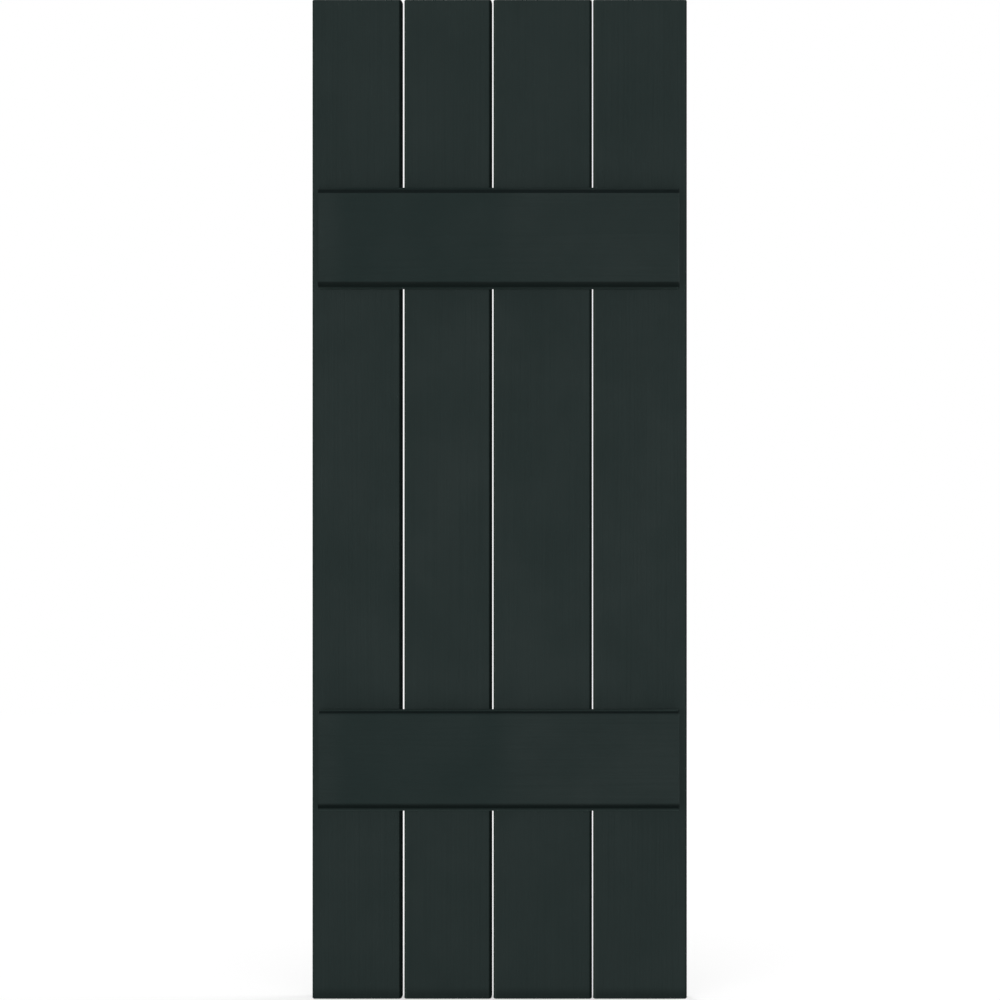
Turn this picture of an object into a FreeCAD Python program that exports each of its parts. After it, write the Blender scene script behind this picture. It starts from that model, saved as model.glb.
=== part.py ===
import FreeCAD, Part
import math
import os

# Board and batten shutter: four upright boards of painted softwood, set side by side with
# narrow open gaps, and held flat by two battens across their fronts. Nothing shows on the
# front, so each batten is drawn up from behind by two countersunk wood screws in every board.
#
# The frame: +X to the right and +Z upwards as the shutter is seen from in front, +Y towards
# the wall. The origin is the centre of the back, on the plane that lies against the wall.

# Boards, from left to right as seen from in front, and the open gaps between them
board_length = 1016.0
board_thickness = 19.05
board_1_width = 90.9
gap_1_to_2 = 2.6
board_2_width = 88.8
gap_2_to_3 = 1.9
board_3_width = 100.2
gap_3_to_4 = 1.2
board_4_width = 95.4
board_arris = 3.2
board_end_chamfer = 0.8

# Battens. The front arris is worked with a larger cutter than the boards' own.
batten_height = 101.6
batten_thickness = 19.05
batten_inset = 8.2
batten_centre_from_end = 244.0
batten_front_arris = 6.35
batten_back_arris = 1.2
batten_end_chamfer = 0.8

# Wood screws
screw_head_diameter = 8.2
screw_shank_diameter = 4.2
screw_core_diameter = 3.0
screw_point_length = 4.5
screw_point_diameter = 0.5
screw_sides = 16

# Cross recess in the head of a screw
recess_span = 4.6
recess_floor_span = 1.6
recess_slot = 0.9
recess_depth = 1.8

# Fits of a screw in the wood
countersink_angle = 82.0
head_below_back = 0.3
shank_clearance = 0.3
shank_short_of_joint = 0.5
pilot_overrun = 1.0
wood_before_point = 6.05

# Where the two screws of a crossing sit, in from the long edges of the board and the batten
screw_from_board_edge = 21.0
screw_from_batten_edge = 28.5

# How far a cutting tool runs past the face that it cuts
cut_overrun = 1.0

X = FreeCAD.Vector(1, 0, 0)
Y = FreeCAD.Vector(0, 1, 0)
Z = FreeCAD.Vector(0, 0, 1)
ORIGIN = FreeCAD.Vector(0, 0, 0)

board_widths = (board_1_width, board_2_width, board_3_width, board_4_width)
board_gaps = (gap_1_to_2, gap_2_to_3, gap_3_to_4)
overall_width = sum(board_widths) + sum(board_gaps)
batten_length = overall_width - 2 * batten_inset
point_depth = board_thickness + batten_thickness - wood_before_point
head_slope = math.tan(math.radians(countersink_angle / 2))


def bar_section(width, thickness, front_arris, back_arris):
    """Face of a bar's cross-section in the XY plane: centred on X, its back on y = 0 and its
    front on y = -thickness, with each arris a quarter round."""
    half = width / 2
    arris_centres = (
        (half - back_arris, -back_arris, back_arris),
        (back_arris - half, -back_arris, back_arris),
        (front_arris - half, front_arris - thickness, front_arris),
        (half - front_arris, front_arris - thickness, front_arris),
    )
    quarter_turn = math.pi / 2
    arcs = []
    for index, (x, y, radius) in enumerate(arris_centres):
        circle = Part.Circle(FreeCAD.Vector(x, y, 0), Z, radius)
        arcs.append(Part.ArcOfCircle(circle, index * quarter_turn, (index + 1) * quarter_turn))
    edges = []
    for index, arc in enumerate(arcs):
        edges.append(Part.LineSegment(arcs[index - 1].EndPoint, arc.StartPoint).toShape())
        edges.append(arc.toShape())
    return Part.Face(Part.Wire(edges))


def planed_bar(width, thickness, length, front_arris, back_arris, end_chamfer):
    """A planed bar along Z, centred on X and Z with its back on y = 0. The cross-cut ends are
    chamfered all round after the long arrises are worked."""
    section = bar_section(width, thickness, front_arris, back_arris)
    section.translate(Z * (-length / 2))
    bar = section.extrude(Z * length)
    end_edges = []
    for edge in bar.Edges:
        nearest = min(abs(vertex.Point.z) for vertex in edge.Vertexes)
        if math.isclose(nearest, length / 2, abs_tol=1e-6):
            end_edges.append(edge)
    return bar.makeChamfer(end_chamfer, end_edges)


def drilled(profile, place):
    """The tool that a profile of (radius, depth) points makes when it turns about a screw's
    axis. Depth runs forwards from the back of the boards, at place."""
    points = [FreeCAD.Vector(radius, -depth, 0) for radius, depth in profile]
    tool = Part.Face(Part.makePolygon(points + points[:1])).revolve(ORIGIN, Y, 360)
    tool.translate(place)
    return tool


def board_hole(place):
    """Countersink and clearance hole for one screw, right through a board."""
    head = screw_head_diameter / 2
    clear = screw_shank_diameter / 2 + shank_clearance
    mouth = head + (head_below_back + cut_overrun) * head_slope
    seat_end = head_below_back + (head - clear) / head_slope
    through = board_thickness + cut_overrun
    profile = ((0, -cut_overrun), (mouth, -cut_overrun), (clear, seat_end), (clear, through), (0, through))
    return drilled(profile, place)


def pilot_hole(place):
    """Blind pilot hole for one screw, in the back of a batten. The screw's core fills it."""
    core = screw_core_diameter / 2
    start = board_thickness - cut_overrun
    end = point_depth + pilot_overrun
    return drilled(((0, start), (core, start), (core, end), (0, end)), place)


def recess_arm(across, place):
    """One arm of the cross recess: a slot that narrows with depth, set along across."""
    normal = across.cross(Y)
    narrowing = (recess_span - recess_floor_span) / 2 / recess_depth
    half_mouth = recess_span / 2 + narrowing * cut_overrun
    half_floor = recess_floor_span / 2
    mouth = head_below_back - cut_overrun
    floor = head_below_back + recess_depth
    outline = ((-half_mouth, mouth), (half_mouth, mouth), (half_floor, floor), (-half_floor, floor))
    points = [across * along - Y * depth for along, depth in outline]
    slot = Part.Face(Part.makePolygon(points + points[:1]))
    slot.translate(place - normal * (recess_slot / 2))
    return slot.extrude(normal * recess_slot)


def screw_ring(diameter, depth):
    """Corners of a screw's cross-section: a polygon whose corners lie on the diameter."""
    corners = []
    for side in range(screw_sides):
        turn = math.radians(360 * side / screw_sides)
        corners.append((X * math.cos(turn) + Z * math.sin(turn)) * (diameter / 2) - Y * depth)
    return corners


def wood_screw(place):
    """A flat-headed wood screw in its countersink: head, plain shank through the board, core
    of the thread in the batten, and point. Its many-sided rings touch the round holes at
    their corners, and it has a cross recess."""
    neck = head_below_back + (screw_head_diameter - screw_shank_diameter) / 2 / head_slope
    shank_end = board_thickness - shank_short_of_joint
    rings = (
        screw_ring(screw_head_diameter, head_below_back),
        screw_ring(screw_shank_diameter, neck),
        screw_ring(screw_shank_diameter, shank_end),
        screw_ring(screw_core_diameter, shank_end),
        screw_ring(screw_core_diameter, point_depth - screw_point_length),
        screw_ring(screw_point_diameter, point_depth),
    )
    outlines = [rings[0], rings[-1]]
    for upper, lower in zip(rings, rings[1:]):
        for side in range(screw_sides):
            outlines.append([upper[side - 1], upper[side], lower[side], lower[side - 1]])
    faces = [Part.Face(Part.makePolygon(outline + outline[:1])) for outline in outlines]
    screw = Part.Solid(Part.Shell(faces))
    screw.translate(place)
    return screw.cut([recess_arm(X, place), recess_arm(Z, place)])


def board_centres():
    """Middle of each board across the shutter, from left to right."""
    centres = []
    left = -overall_width / 2
    for width, gap in zip(board_widths, board_gaps + (0,)):
        centres.append(left + width / 2)
        left += width + gap
    return centres


def screw_places(board_width, board_x, batten_z):
    """The two screws of one crossing, on a diagonal so that they don't split the same line of
    the grain."""
    across = X * (board_width / 2 - screw_from_board_edge)
    up = Z * (batten_height / 2 - screw_from_batten_edge)
    crossing = FreeCAD.Vector(board_x, 0, batten_z)
    return {"left": crossing - across - up, "right": crossing + across + up}


def write(shape, node):
    """Write one piece to its STEP file."""
    shape.exportStep(f"parts/{node}.step")


batten_reach = board_length / 2 - batten_centre_from_end
batten_heights = {"upper": batten_reach, "lower": -batten_reach}

os.makedirs("parts", exist_ok=True)

for number, (width, board_x) in enumerate(zip(board_widths, board_centres()), start=1):
    board = planed_bar(width, board_thickness, board_length, board_arris, board_arris, board_end_chamfer)
    board.translate(X * board_x)
    holes = []
    for batten_name, batten_z in batten_heights.items():
        for side, place in screw_places(width, board_x, batten_z).items():
            holes.append(board_hole(place))
            write(wood_screw(place), f"screw_{batten_name}_board_{number}_{side}")
    write(board.cut(holes), f"board_{number}")

for batten_name, batten_z in batten_heights.items():
    batten = planed_bar(
        batten_height,
        batten_thickness,
        batten_length,
        batten_front_arris,
        batten_back_arris,
        batten_end_chamfer,
    )
    batten.rotate(ORIGIN, Y, 90)
    batten.translate(FreeCAD.Vector(0, -board_thickness, batten_z))
    pilots = []
    for width, board_x in zip(board_widths, board_centres()):
        for place in screw_places(width, board_x, batten_z).values():
            pilots.append(pilot_hole(place))
    write(batten.cut(pilots), f"batten_{batten_name}")
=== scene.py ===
import math

import bpy
import numpy as np
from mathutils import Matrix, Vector


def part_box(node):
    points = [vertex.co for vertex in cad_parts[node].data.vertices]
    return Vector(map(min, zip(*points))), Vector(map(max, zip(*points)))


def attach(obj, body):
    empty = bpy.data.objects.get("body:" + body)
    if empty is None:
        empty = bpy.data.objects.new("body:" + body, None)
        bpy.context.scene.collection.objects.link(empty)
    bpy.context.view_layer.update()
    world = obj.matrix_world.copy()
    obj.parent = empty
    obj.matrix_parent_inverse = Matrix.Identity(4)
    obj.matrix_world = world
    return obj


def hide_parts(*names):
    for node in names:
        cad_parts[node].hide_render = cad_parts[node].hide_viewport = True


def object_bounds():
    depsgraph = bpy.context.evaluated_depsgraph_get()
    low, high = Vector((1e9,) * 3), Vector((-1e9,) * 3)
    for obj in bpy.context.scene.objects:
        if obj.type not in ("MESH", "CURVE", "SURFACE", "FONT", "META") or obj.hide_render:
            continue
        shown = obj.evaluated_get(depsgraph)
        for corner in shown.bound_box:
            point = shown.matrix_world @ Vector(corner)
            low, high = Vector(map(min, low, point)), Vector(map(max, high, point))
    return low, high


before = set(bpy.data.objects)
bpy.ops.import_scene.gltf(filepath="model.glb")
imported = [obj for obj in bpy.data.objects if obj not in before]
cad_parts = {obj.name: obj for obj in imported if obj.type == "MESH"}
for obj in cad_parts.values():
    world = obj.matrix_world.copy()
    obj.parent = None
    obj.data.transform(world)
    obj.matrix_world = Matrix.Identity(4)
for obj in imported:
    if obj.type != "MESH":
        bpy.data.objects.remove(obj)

cad_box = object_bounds()

# Boards: four lengths of planed pine, brushed with dark green-black outdoor paint. Shade is
# painted into the colour on the sides and arrises that face right, darkest in the gaps, and at
# the foot; a highlight is painted on the arrises that face left across the gaps. The sides dry dead matt.
mm = 0.001
paint_face = "#232C2B"
paint_mottle = "#1F2827"
painted_shade_darkest = "#091110"
painted_highlight_left_facing = "#28322F"
painted_shade_foot_colour = "#1A2221"
ring_spacing = 4.2 * mm
ring_relief = 0.080 * mm
end_ring_relief = 0.220 * mm
ring_wander = 30 * mm
wanders_per_metre = (14, 14, 1.6)
late_wood = ((0.55, 0.0), (0.88, 1.0), (0.96, 0.0))
brush_mark_width = 1.1 * mm
brush_mark_length = 200 * mm
brush_relief = 0.070 * mm
brush_streak = 1.6
mottle_size = 70 * mm
mottle_share = 0.6
mottle_range = (0.3, 0.7)
face_roughness = 0.58
roughness_spread = 0.06
side_roughness = 0.95
paint_gloss = 0.03
paint_ior = 1.5
end_slopes = (0.5, 0.9)
front_slopes = (0.2, 0.9)
never = (1.5, 2.0)


def linear(hex_colour):
    """The linear colour, with full alpha, of an sRGB hex value."""
    channels = [int(hex_colour[i:i + 2], 16) / 255 for i in (1, 3, 5)]
    return [c / 12.92 if c <= 0.04045 else ((c + 0.055) / 1.055) ** 2.4 for c in channels] + [1.0]


def node(tree, kind, inputs=None, **settings):
    """Add a node: settings are its properties, and inputs give each socket its value or the
    output that feeds it."""
    made = tree.nodes.new(kind)
    for name, value in settings.items():
        setattr(made, name, value)
    for socket, value in (inputs or {}).items():
        if isinstance(value, bpy.types.NodeSocket):
            tree.links.new(value, made.inputs[socket])
        else:
            made.inputs[socket].default_value = value
    return made


def painted_pine(name, centre, grain, pith, turn, seed, painted_light_and_shade, patches):
    """Brushed matt-satin paint on planed pine, named for that. Turned so that Z runs along the
    grain, a growth ring is every point at the same distance from the pith, give or take a slow
    wander along the board: it shows as a faint ridge on the faces and a stronger one on the
    ends. Brush marks are noise drawn out along the grain. The eye gets an even dark colour
    with a soft sheen that breaks up along the grain, and dull sides.

    Each of painted_light_and_shade is a direction, a colour and four slopes towards the direction: the
    surface that turns that way takes the colour from the first slope to the second, and its own
    again from the third to the fourth. This paints into the colour the shade and light that fall
    on the piece by its slope. Each of patches is the same with four distances from the piece's
    middle in the direction. No slope or distance on the shutter gets as far as the pair called never."""
    material = bpy.data.materials.new(name)
    material.use_nodes = True
    tree = material.node_tree
    shader = tree.nodes["Principled BSDF"]
    coordinates = node(tree, "ShaderNodeTexCoord").outputs
    from_centre = node(
        tree, "ShaderNodeVectorMath", {0: coordinates["Object"], 1: centre}, operation="SUBTRACT"
    ).outputs[0]
    along = node(tree, "ShaderNodeMapping", {"Vector": from_centre, "Rotation": turn}).outputs[0]

    wander_in = node(
        tree, "ShaderNodeMapping", {"Vector": along, "Location": seed, "Scale": wanders_per_metre}
    )
    wander = node(
        tree, "ShaderNodeTexNoise", {"Vector": wander_in.outputs[0], "Scale": 1.0, "Detail": 3.0}
    ).outputs["Fac"]
    across = node(
        tree, "ShaderNodeVectorMath", {0: along, 1: (1, 1, 0)}, operation="MULTIPLY"
    ).outputs[0]
    from_pith = node(tree, "ShaderNodeVectorMath", {0: across, 1: pith}, operation="SUBTRACT").outputs[0]
    radius = node(tree, "ShaderNodeVectorMath", {0: from_pith}, operation="LENGTH").outputs["Value"]
    wandered = node(
        tree, "ShaderNodeMath", {0: wander, 1: ring_wander, 2: radius}, operation="MULTIPLY_ADD"
    )
    rings = node(tree, "ShaderNodeMath", {0: wandered.outputs[0], 1: ring_spacing}, operation="DIVIDE")
    in_ring = node(tree, "ShaderNodeMath", {0: rings.outputs[0]}, operation="FRACT")
    late = node(tree, "ShaderNodeValToRGB", {"Fac": in_ring.outputs[0]})
    late.color_ramp.interpolation = "EASE"
    for place_in_ring, level in late_wood:
        stop = late.color_ramp.elements.new(place_in_ring)
        stop.color = (level, level, level, 1)
    late.color_ramp.elements.remove(late.color_ramp.elements[0])
    late.color_ramp.elements.remove(late.color_ramp.elements[-1])

    brush_scale = (1 / brush_mark_width, 1 / brush_mark_width, 1 / brush_mark_length)
    brush_in = node(tree, "ShaderNodeMapping", {"Vector": along, "Location": seed, "Scale": brush_scale})
    brush = node(
        tree, "ShaderNodeTexNoise", {"Vector": brush_in.outputs[0], "Scale": 1.0, "Detail": 4.0}
    ).outputs["Fac"]
    mottle_in = node(tree, "ShaderNodeMapping", {"Vector": along, "Location": seed})
    mottle = node(
        tree,
        "ShaderNodeTexNoise",
        {"Vector": mottle_in.outputs[0], "Scale": 1 / mottle_size, "Detail": 5.0, "Roughness": 0.6},
    ).outputs["Fac"]

    def slope(towards):
        """How squarely the surface faces a direction: 1 is square to it and 0 edge on."""
        return node(
            tree, "ShaderNodeVectorMath", {0: coordinates["Normal"], 1: towards}, operation="DOT_PRODUCT"
        ).outputs["Value"]

    def distance(towards):
        """How far the surface lies from the piece's middle in a direction."""
        return node(
            tree, "ShaderNodeVectorMath", {0: from_centre, 1: towards}, operation="DOT_PRODUCT"
        ).outputs["Value"]

    def facing(axis):
        """How squarely the surface faces along an axis, either way."""
        return node(tree, "ShaderNodeMath", {0: slope(axis)}, operation="ABSOLUTE").outputs[0]

    def ease(value, low, high, at_low, at_high):
        """A value's smooth change from at_low, where it is low, to at_high, where it is high."""
        inputs = {"Value": value, "From Min": low, "From Max": high, "To Min": at_low, "To Max": at_high}
        return node(tree, "ShaderNodeMapRange", inputs, interpolation_type="SMOOTHSTEP").outputs["Result"]

    relief = ease(facing(grain), *end_slopes, ring_relief, end_ring_relief)
    ring_height = node(tree, "ShaderNodeMath", {0: late.outputs["Color"], 1: relief}, operation="MULTIPLY")
    height = node(
        tree,
        "ShaderNodeMath",
        {0: brush, 1: brush_relief, 2: ring_height.outputs[0]},
        operation="MULTIPLY_ADD",
    )
    bump = node(tree, "ShaderNodeBump", {"Height": height.outputs[0], "Distance": 1.0, "Strength": 1.0})

    streak = node(
        tree,
        "ShaderNodeMath",
        {0: brush, 1: brush_streak, 2: -brush_streak / 2},
        operation="MULTIPLY_ADD",
    )
    uneven = node(
        tree, "ShaderNodeMath", {0: mottle, 1: mottle_share, 2: streak.outputs[0]}, operation="MULTIPLY_ADD"
    )
    face_colour = node(
        tree,
        "ShaderNodeMix",
        {"Factor": uneven.outputs[0], "A": linear(paint_face), "B": linear(paint_mottle)},
        data_type="RGBA",
        clamp_factor=False,
    )
    stretches = [(distance(towards), *place) for towards, *place in patches]
    stretches += [(slope(towards), *place) for towards, *place in painted_light_and_shade]
    colour = face_colour.outputs["Result"]
    for measure, other_colour, other_from, other_at, own_from, own_at in stretches:
        begun = ease(measure, other_from, other_at, 0.0, 1.0)
        not_over = ease(measure, own_from, own_at, 1.0, 0.0)
        share = node(tree, "ShaderNodeMath", {0: begun, 1: not_over}, operation="MULTIPLY").outputs[0]
        colour = node(
            tree, "ShaderNodeMix", {"Factor": share, "A": colour, "B": linear(other_colour)}, data_type="RGBA"
        ).outputs["Result"]

    smoother = face_roughness - roughness_spread
    rougher = face_roughness + roughness_spread
    sheen_of_face = ease(mottle, *mottle_range, smoother, rougher)
    on_side = ease(facing((0, 1, 0)), *front_slopes, 1.0, 0.0)
    roughness = node(
        tree, "ShaderNodeMix", {"Factor": on_side, "A": sheen_of_face, "B": side_roughness}, data_type="FLOAT"
    )
    tree.links.new(colour, shader.inputs["Base Color"])
    tree.links.new(roughness.outputs["Result"], shader.inputs["Roughness"])
    tree.links.new(bump.outputs["Normal"], shader.inputs["Normal"])
    shader.inputs["IOR"].default_value = paint_ior
    shader.inputs["Specular IOR Level"].default_value = paint_gloss
    return material


def finish_node(name, material):
    """Give a piece of the frame its finish."""
    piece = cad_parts[name]
    piece.data.materials.clear()
    piece.data.materials.append(material)


def centre_of(name):
    """Middle of a piece's box."""
    low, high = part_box(name)
    return (Vector(low) + Vector(high)) / 2


# Painted shade over the last few millimetres at each board's foot.
painted_shade_at_foot = ((0, 0, -1), painted_shade_foot_colour, 494 * mm, 505 * mm, *never)
# Painted shade: the sides and arrises that face right, darkest in the gaps, and the right-hand outer arris of
# the last board.
painted_shade_right_sides = ((1, 0, 0), painted_shade_darkest, 0.05, 0.45, *never)
painted_shade_right_arris = ((1, 0, 0), painted_shade_darkest, 0.40, 0.75, 0.96, 0.999)
# Painted highlight: the arrises that face left across the gaps are paler.
painted_highlight_left_arris = ((-1, 0, 0), painted_highlight_left_facing, 0.05, 0.30, 0.85, 0.98)
boards = (
    {"pith": (0.060, 0.045, 0), "painted_light_and_shade": [painted_shade_right_sides]},
    {"pith": (-0.030, 0.070, 0), "painted_light_and_shade": [painted_shade_right_sides, painted_highlight_left_arris]},
    {"pith": (0.015, 0.038, 0), "painted_light_and_shade": [painted_shade_right_sides, painted_highlight_left_arris]},
    {"pith": (-0.080, 0.055, 0), "painted_light_and_shade": [painted_shade_right_arris, painted_highlight_left_arris]},
)
for number, own in enumerate(boards, start=1):
    board = f"board_{number}"
    paint = painted_pine(
        f"brushed_paint_{board}",
        centre_of(board),
        grain=(0, 0, 1),
        turn=(0, 0, 0),
        seed=(3.7 * number, 1.9 * number, 8.3 * number),
        patches=[painted_shade_at_foot],
        **own,
    )
    finish_node(board, paint)


# Battens: two shorter lengths of the same pine and paint, laid across the boards. Shade is
# painted into the colour on their large front arrises, top and bottom, and along the foot of the
# lower one, and light on the faces that look at each other. The paint is darker left of the middle.
# Painted shade for the arrises that turn up and down, painted light for the faces between the battens.
painted_shade_facing_up = "#0E1515"
painted_shade_facing_down = "#101716"
paint_left_of_middle = "#1E2827"
# Painted light on the faces of the two battens that look at each other.
painted_light_between_battens = "#323E3C"
# Darker paint left of each batten's middle.
darker_left_of_middle = ((1, 0, 0), paint_left_of_middle, -175 * mm, -150 * mm, -12 * mm, 20 * mm)
# Painted shade along the lower batten's foot.
painted_shade_along_foot = ((0, 0, -1), painted_shade_darkest, 41.5 * mm, 45.0 * mm, *never)
battens = {
    "batten_upper": {
        "pith": (0.020, 0.060, 0),
        "patches": [darker_left_of_middle],
        "painted_light_and_shade": [
            ((0, 0, 1), painted_shade_facing_up, 0.0, 0.12, 0.48, 0.80),
            ((0, 0, -1), painted_shade_facing_down, 0.0, 0.20, 0.78, 0.93),
            ((0, 0, -1), painted_light_between_battens, 0.93, 0.99, *never),
        ],
    },
    "batten_lower": {
        "pith": (-0.045, 0.050, 0),
        "patches": [darker_left_of_middle, painted_shade_along_foot],
        "painted_light_and_shade": [
            ((0, 0, 1), painted_shade_facing_up, 0.35, 0.75, 0.80, 0.90),
            ((0, 0, 1), painted_light_between_battens, 0.90, 0.98, *never),
            # The own colour comes back over the painted shade along the foot where the arris turns down.
            ((0, 0, -1), paint_face, 0.38, 0.74, *never),
            ((0, 0, -1), painted_light_between_battens, 0.76, 0.88, 0.97, 1.0),
        ],
    },
}
for number, (batten, own) in enumerate(battens.items(), start=1):
    paint = painted_pine(
        f"brushed_paint_{batten}",
        centre_of(batten),
        grain=(1, 0, 0),
        turn=(0, math.radians(90), 0),
        seed=(5.1 * number, 7.7 * number, 2.3 * number),
        **own,
    )
    finish_node(batten, paint)


# Screws: sixteen flat-headed wood screws of zinc-plated steel, driven from behind through the
# boards into the battens. Each has a cross punched in its head, a plain shank that passes
# freely through the board, and a rolled thread that cuts its own way into the batten.
zinc_bright = "#BDBFBC"
zinc_cloudy = "#9BA0A2"
zinc_cloud_size = 1.6 * mm
zinc_grit_size = 0.25 * mm
zinc_grit_relief = 0.006 * mm
zinc_roughness = (0.36, 0.58)
head_edge = 0.12 * mm
countersink_angle = math.radians(82)
shank_radius = 2.1 * mm
shank_end = 18.55 * mm
core_radius = 1.5 * mm
thread_pitch = 1.8 * mm
thread_flank = 0.55 * mm
rings_per_turn = 10
point_length = 4.5 * mm
point_radius = 0.12 * mm
recess_depth = 1.8 * mm
recess_point = 0.35 * mm
recess_mouth = {"reach": 2.3 * mm, "half_slot": 0.45 * mm, "core": 0.95 * mm}
recess_floor = {"reach": 0.9 * mm, "half_slot": 0.30 * mm, "core": 0.45 * mm}
recess_edge = 0.06 * mm
sharpest_smooth_edge = math.radians(35)
turn_between_screws = math.radians(137.5)


def cross_outline(angle, reach, half_slot, core):
    """Distance from the axis to the wall of the cross at each angle: to the flat side of the
    nearest arm or to its flat end, whichever is nearer, and never less than the round core."""
    off_arm = np.abs((angle + math.pi / 4) % (math.pi / 2) - math.pi / 4)
    side = half_slot / np.sin(np.maximum(off_arm, math.atan2(half_slot, reach)))
    return np.maximum(core, np.minimum(reach / np.cos(off_arm), side))


def around_cross(reach, half_slot, core):
    """Angles round the axis with one on each corner of the cross: five steps from the middle of
    an arm to the corner at its foot, two from there to the middle of the core, then mirrored
    and repeated for the four arms."""
    end_corner = math.atan2(half_slot, reach)
    foot_corner = math.asin(half_slot / core)
    half_arm = np.concatenate([
        np.linspace(0, end_corner, 2, endpoint=False),
        np.linspace(end_corner, foot_corner, 3, endpoint=False),
        np.linspace(foot_corner, math.pi / 4, 3),
    ])
    quarter = np.concatenate([half_arm, math.pi / 2 - half_arm[-2:0:-1]])
    return (quarter + np.arange(4)[:, None] * math.pi / 2).ravel()


def threaded(angle, depth, tip):
    """Distance from the axis to the threaded part's surface: a core that narrows over the
    point, and on it a sharp ridge that climbs one pitch in each turn and fades away over its
    first and last pitch."""
    core = np.interp(depth, (shank_end, tip - point_length, tip), (core_radius, core_radius, point_radius))
    off_ridge = np.abs((depth / thread_pitch - angle / math.tau) % 1 - 0.5) * thread_pitch
    ridge = np.clip(1 - off_ridge / thread_flank, 0, 1)
    fade = np.clip(np.minimum(depth - shank_end, tip - depth) / thread_pitch, 0, 1)
    return core + (shank_radius - core_radius) * ridge * fade


def wood_screw(node_name, turn):
    """One screw in place of a node of the frame. Its skin is rings of points about the axis,
    each with a radius at every angle and a depth from the back of the boards: the floor and
    walls of the cross, the flat of the head, the cone beneath, the shank and the thread. A
    point on the axis closes it at each end."""
    low, high = (Vector(corner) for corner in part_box(node_name))
    axis_x = (low.x + high.x) / 2
    axis_z = (low.z + high.z) / 2
    head_radius = (high.x - low.x) / 2
    top, tip = -high.y, -low.y
    angle = around_cross(**recess_mouth)
    floor = cross_outline(angle, **recess_floor)
    mouth = cross_outline(angle, **recess_mouth)
    round_ring = np.ones_like(angle)
    neck = top + (head_radius - shank_radius) / math.tan(countersink_angle / 2)
    head_rings = [
        (floor, top + recess_depth),
        (mouth - recess_edge, top + recess_edge),
        (mouth, top),
        (round_ring * (head_radius - head_edge), top),
        (round_ring * head_radius, top + head_edge),
        (round_ring * shank_radius, neck),
        (round_ring * shank_radius, shank_end - thread_pitch / 2),
        (round_ring * core_radius, shank_end),
    ]
    thread_rings = round((tip - shank_end) / thread_pitch * rings_per_turn)
    thread_depths = np.linspace(shank_end, tip, thread_rings + 1)[1:]
    head_radii = [radius for radius, depth in head_rings]
    head_depths = [depth for radius, depth in head_rings]
    radii = np.vstack(head_radii + [threaded(angle, thread_depths[:, None], tip)])
    depths = np.concatenate([head_depths, thread_depths])
    x = axis_x + radii * np.cos(angle + turn)
    y = np.broadcast_to(-depths[:, None], radii.shape)
    z = axis_z + radii * np.sin(angle + turn)
    poles = [(axis_x, -(top + recess_depth + recess_point), axis_z), (axis_x, -tip, axis_z)]
    points = np.concatenate([np.stack([x, y, z], axis=-1).reshape(-1, 3), poles])

    rings, stations = radii.shape
    index = np.arange(rings * stations).reshape(rings, stations)
    after = np.roll(index, -1, axis=1)
    walls = np.stack([index[:-1], after[:-1], after[1:], index[1:]], axis=-1).reshape(-1, 4)
    pole_start, pole_end = rings * stations, rings * stations + 1
    start = np.stack([after[0], index[0], np.full(stations, pole_start)], axis=-1)
    end = np.stack([index[-1], after[-1], np.full(stations, pole_end)], axis=-1)
    mesh = bpy.data.meshes.new(f"wood_{node_name}")
    mesh.from_pydata(points.tolist(), [], walls.tolist() + start.tolist() + end.tolist())
    mesh.shade_smooth()
    mesh.set_sharp_from_angle(angle=sharpest_smooth_edge)
    screw = bpy.data.objects.new(f"wood_{node_name}", mesh)
    bpy.context.scene.collection.objects.link(screw)
    return screw


def zinc_plate():
    """Bright zinc plate on turned steel, named for that: the plate clouds over in spots a
    millimetre or two wide, and a fine grit breaks up its shine. The grit is drawn coarser than
    the real one, which is too fine to show."""
    material = bpy.data.materials.new("zinc_plated_steel")
    material.use_nodes = True
    tree = material.node_tree
    shader = tree.nodes["Principled BSDF"]
    place = node(tree, "ShaderNodeTexCoord").outputs["Object"]
    clouds = node(
        tree, "ShaderNodeTexNoise", {"Vector": place, "Scale": 1 / zinc_cloud_size, "Detail": 3.0}
    ).outputs["Fac"]
    grit = node(
        tree, "ShaderNodeTexNoise", {"Vector": place, "Scale": 1 / zinc_grit_size, "Detail": 2.0}
    ).outputs["Fac"]
    colour = node(
        tree,
        "ShaderNodeMix",
        {"Factor": clouds, "A": linear(zinc_bright), "B": linear(zinc_cloudy)},
        data_type="RGBA",
    )
    brightest, dullest = zinc_roughness
    roughness = node(
        tree, "ShaderNodeMapRange", {"Value": clouds, "To Min": brightest, "To Max": dullest}
    )
    bump = node(tree, "ShaderNodeBump", {"Height": grit, "Distance": zinc_grit_relief, "Strength": 1.0})
    tree.links.new(colour.outputs["Result"], shader.inputs["Base Color"])
    tree.links.new(roughness.outputs["Result"], shader.inputs["Roughness"])
    tree.links.new(bump.outputs["Normal"], shader.inputs["Normal"])
    shader.inputs["Metallic"].default_value = 1.0
    return material


zinc = zinc_plate()
screw_nodes = sorted(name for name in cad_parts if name.startswith("screw"))
for number, node_name in enumerate(screw_nodes):
    screw = wood_screw(node_name, number * turn_between_screws)
    screw.data.materials.append(zinc)
    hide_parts(node_name)
    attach(screw, "root")


# Floor and surround: a matt white floor at the foot of the shutter, under a white surround.
# Where the camera or a mirror sees the floor it glows a little, so that it is white but for the
# shutter's shadow, and from a few metres off it is simply as white as the surround.
floor_size = 12.0
floor_white = "#F2F2F0"
floor_glow = 0.56
floor_share_lit = 0.70
near_floor = 0.9
far_floor = 3.2
surround_light = 0.15


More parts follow.
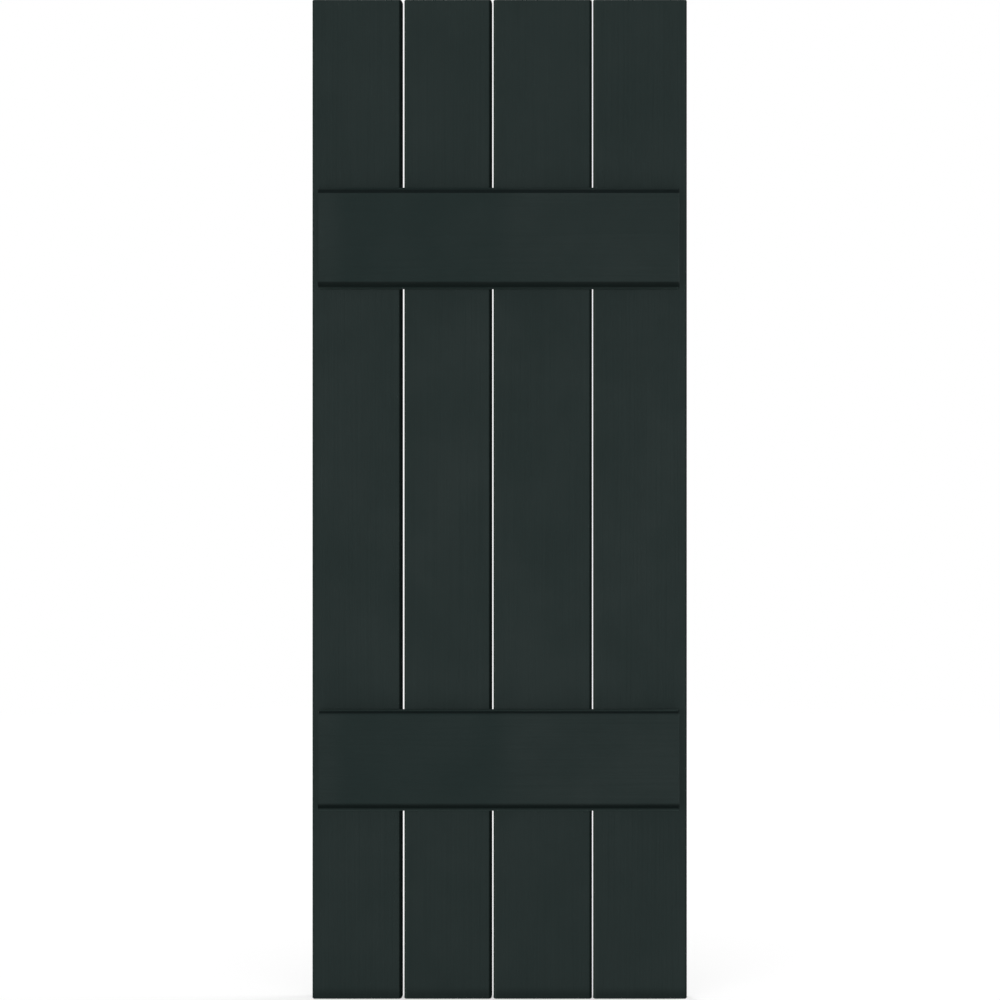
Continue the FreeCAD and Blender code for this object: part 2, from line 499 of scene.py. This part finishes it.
def seen_rays(tree):
    """1 where the camera, a mirror or glass looks at a surface, and 0 where light falls on it."""
    rays = node(tree, "ShaderNodeLightPath").outputs
    seen = node(
        tree,
        "ShaderNodeMath",
        {0: rays["Is Camera Ray"], 1: rays["Is Glossy Ray"]},
        operation="MAXIMUM",
    )
    return node(
        tree, "ShaderNodeMath", {0: seen.outputs[0], 1: rays["Is Transmission Ray"]}, operation="MAXIMUM"
    ).outputs[0]


def white_floor():
    """The floor's material. Light that falls on it meets matt white. What sees it gets a part of
    its own light and a glow, which turn to plain white with the distance from the shutter."""
    material = bpy.data.materials.new("matt_white_floor")
    material.use_nodes = True
    tree = material.node_tree
    tree.nodes.clear()
    place = node(tree, "ShaderNodeTexCoord").outputs["Object"]
    level_place = node(
        tree, "ShaderNodeVectorMath", {0: place, 1: (1, 1, 0)}, operation="MULTIPLY"
    ).outputs[0]
    from_shutter = node(tree, "ShaderNodeVectorMath", {0: level_place}, operation="LENGTH")
    far_off = node(
        tree,
        "ShaderNodeMapRange",
        {"Value": from_shutter.outputs["Value"], "From Min": near_floor, "From Max": far_floor},
        interpolation_type="SMOOTHSTEP",
    ).outputs["Result"]
    matt = node(tree, "ShaderNodeBsdfDiffuse", {"Color": linear(floor_white)})
    part_lit = node(tree, "ShaderNodeBsdfDiffuse", {"Color": [floor_share_lit] * 3 + [1.0]})
    glow = node(tree, "ShaderNodeEmission", {"Strength": floor_glow})
    near = node(tree, "ShaderNodeAddShader", {0: part_lit.outputs[0], 1: glow.outputs[0]})
    far = node(tree, "ShaderNodeEmission", {"Strength": 1.0})
    seen = node(tree, "ShaderNodeMixShader", {0: far_off, 1: near.outputs[0], 2: far.outputs[0]})
    both = node(tree, "ShaderNodeMixShader", {0: seen_rays(tree), 1: matt.outputs[0], 2: seen.outputs[0]})
    node(tree, "ShaderNodeOutputMaterial", {"Surface": both.outputs[0]})
    return material


floor_mesh = bpy.data.meshes.new("floor")
half = floor_size / 2
floor_z = cad_box[0][2]
corners = [(-half, -half, floor_z), (half, -half, floor_z), (half, half, floor_z), (-half, half, floor_z)]
floor_mesh.from_pydata(corners, [], [(0, 1, 2, 3)])
floor_mesh.materials.append(white_floor())
floor = bpy.data.objects.new("floor", floor_mesh)
bpy.context.scene.collection.objects.link(floor)

world = bpy.data.worlds.new("white_surround")
bpy.context.scene.world = world
world.use_nodes = True
world.node_tree.nodes.clear()
strength = node(
    world.node_tree,
    "ShaderNodeMapRange",
    {"Value": seen_rays(world.node_tree), "To Min": surround_light, "To Max": 1.0},
)
background = node(
    world.node_tree,
    "ShaderNodeBackground",
    {"Color": (1, 1, 1, 1), "Strength": strength.outputs["Result"]},
)
node(world.node_tree, "ShaderNodeOutputWorld", {"Surface": background.outputs[0]})


# Lamps: a small strong one nearly behind the camera and a weak wide one to its left light the
# front. Three more hardly touch it: one behind for the back, one to the right for the right-hand
# edges and one above for the upper ones. All are far off, so that the light is even.
small_lamp = 0.8
wide_lamp = 2.2


def soft_lamp(name, place, size, light_on_front):
    """A square area lamp that faces the middle of the shutter. Its power is worked out from
    the light that it should give there, as a share of full white: share x pi x pi x distance
    squared / cosine of the angle from square on."""
    lamp = bpy.data.objects.new(name, bpy.data.lights.new(name, "AREA"))
    bpy.context.scene.collection.objects.link(lamp)
    place = Vector(place)
    lamp.location = place
    lamp.rotation_euler = place.to_track_quat("Z", "Y").to_euler()
    lamp.data.size = size
    squareness = abs(place.normalized().y)
    lamp.data.energy = light_on_front * math.pi ** 2 * place.length_squared / squareness


soft_lamp("lamp_front", (0.15, -7.0, -0.05), small_lamp, 0.63)
soft_lamp("lamp_left", (-4.6, -5.4, 0.4), wide_lamp, 0.10)
soft_lamp("lamp_behind", (-3.0, 6.0, 1.2), wide_lamp, 0.62)
soft_lamp("lamp_right", (6.0, 1.2, 0.8), wide_lamp, 0.12)
soft_lamp("lamp_above", (0.0, -0.9, 6.0), wide_lamp, 0.03)


# The view: the shutter is seen square on, filling the height of the picture, from a place a
# little right of its middle, so that each gap shows the right-hand edge of the board on its
# left. The lens is shifted instead of turned, which keeps every edge upright.
photo_pixel = 1.0165 * mm
picture_width_px = 1000
middle_of_shutter_px = (499.50, 499.2)
view_distance = 2.2
view_right_of_middle = 112 * mm
sensor_width = 36.0

board_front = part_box("board_1")[0][1]
picture_width = picture_width_px * photo_pixel
picture_middle_x = (picture_width_px / 2 - middle_of_shutter_px[0]) * photo_pixel
picture_middle_z = (middle_of_shutter_px[1] - picture_width_px / 2) * photo_pixel

camera = bpy.data.objects.new("camera", bpy.data.cameras.new("camera"))
bpy.context.scene.collection.objects.link(camera)
camera.location = (view_right_of_middle, board_front - view_distance, 0)
camera.rotation_euler = (math.radians(90), 0, 0)
camera.data.sensor_width = sensor_width
camera.data.lens = sensor_width * view_distance / picture_width
camera.data.shift_x = (picture_middle_x - view_right_of_middle) / picture_width
camera.data.shift_y = picture_middle_z / picture_width
bpy.context.scene.camera = camera

bpy.context.scene.view_settings.view_transform = "Standard"
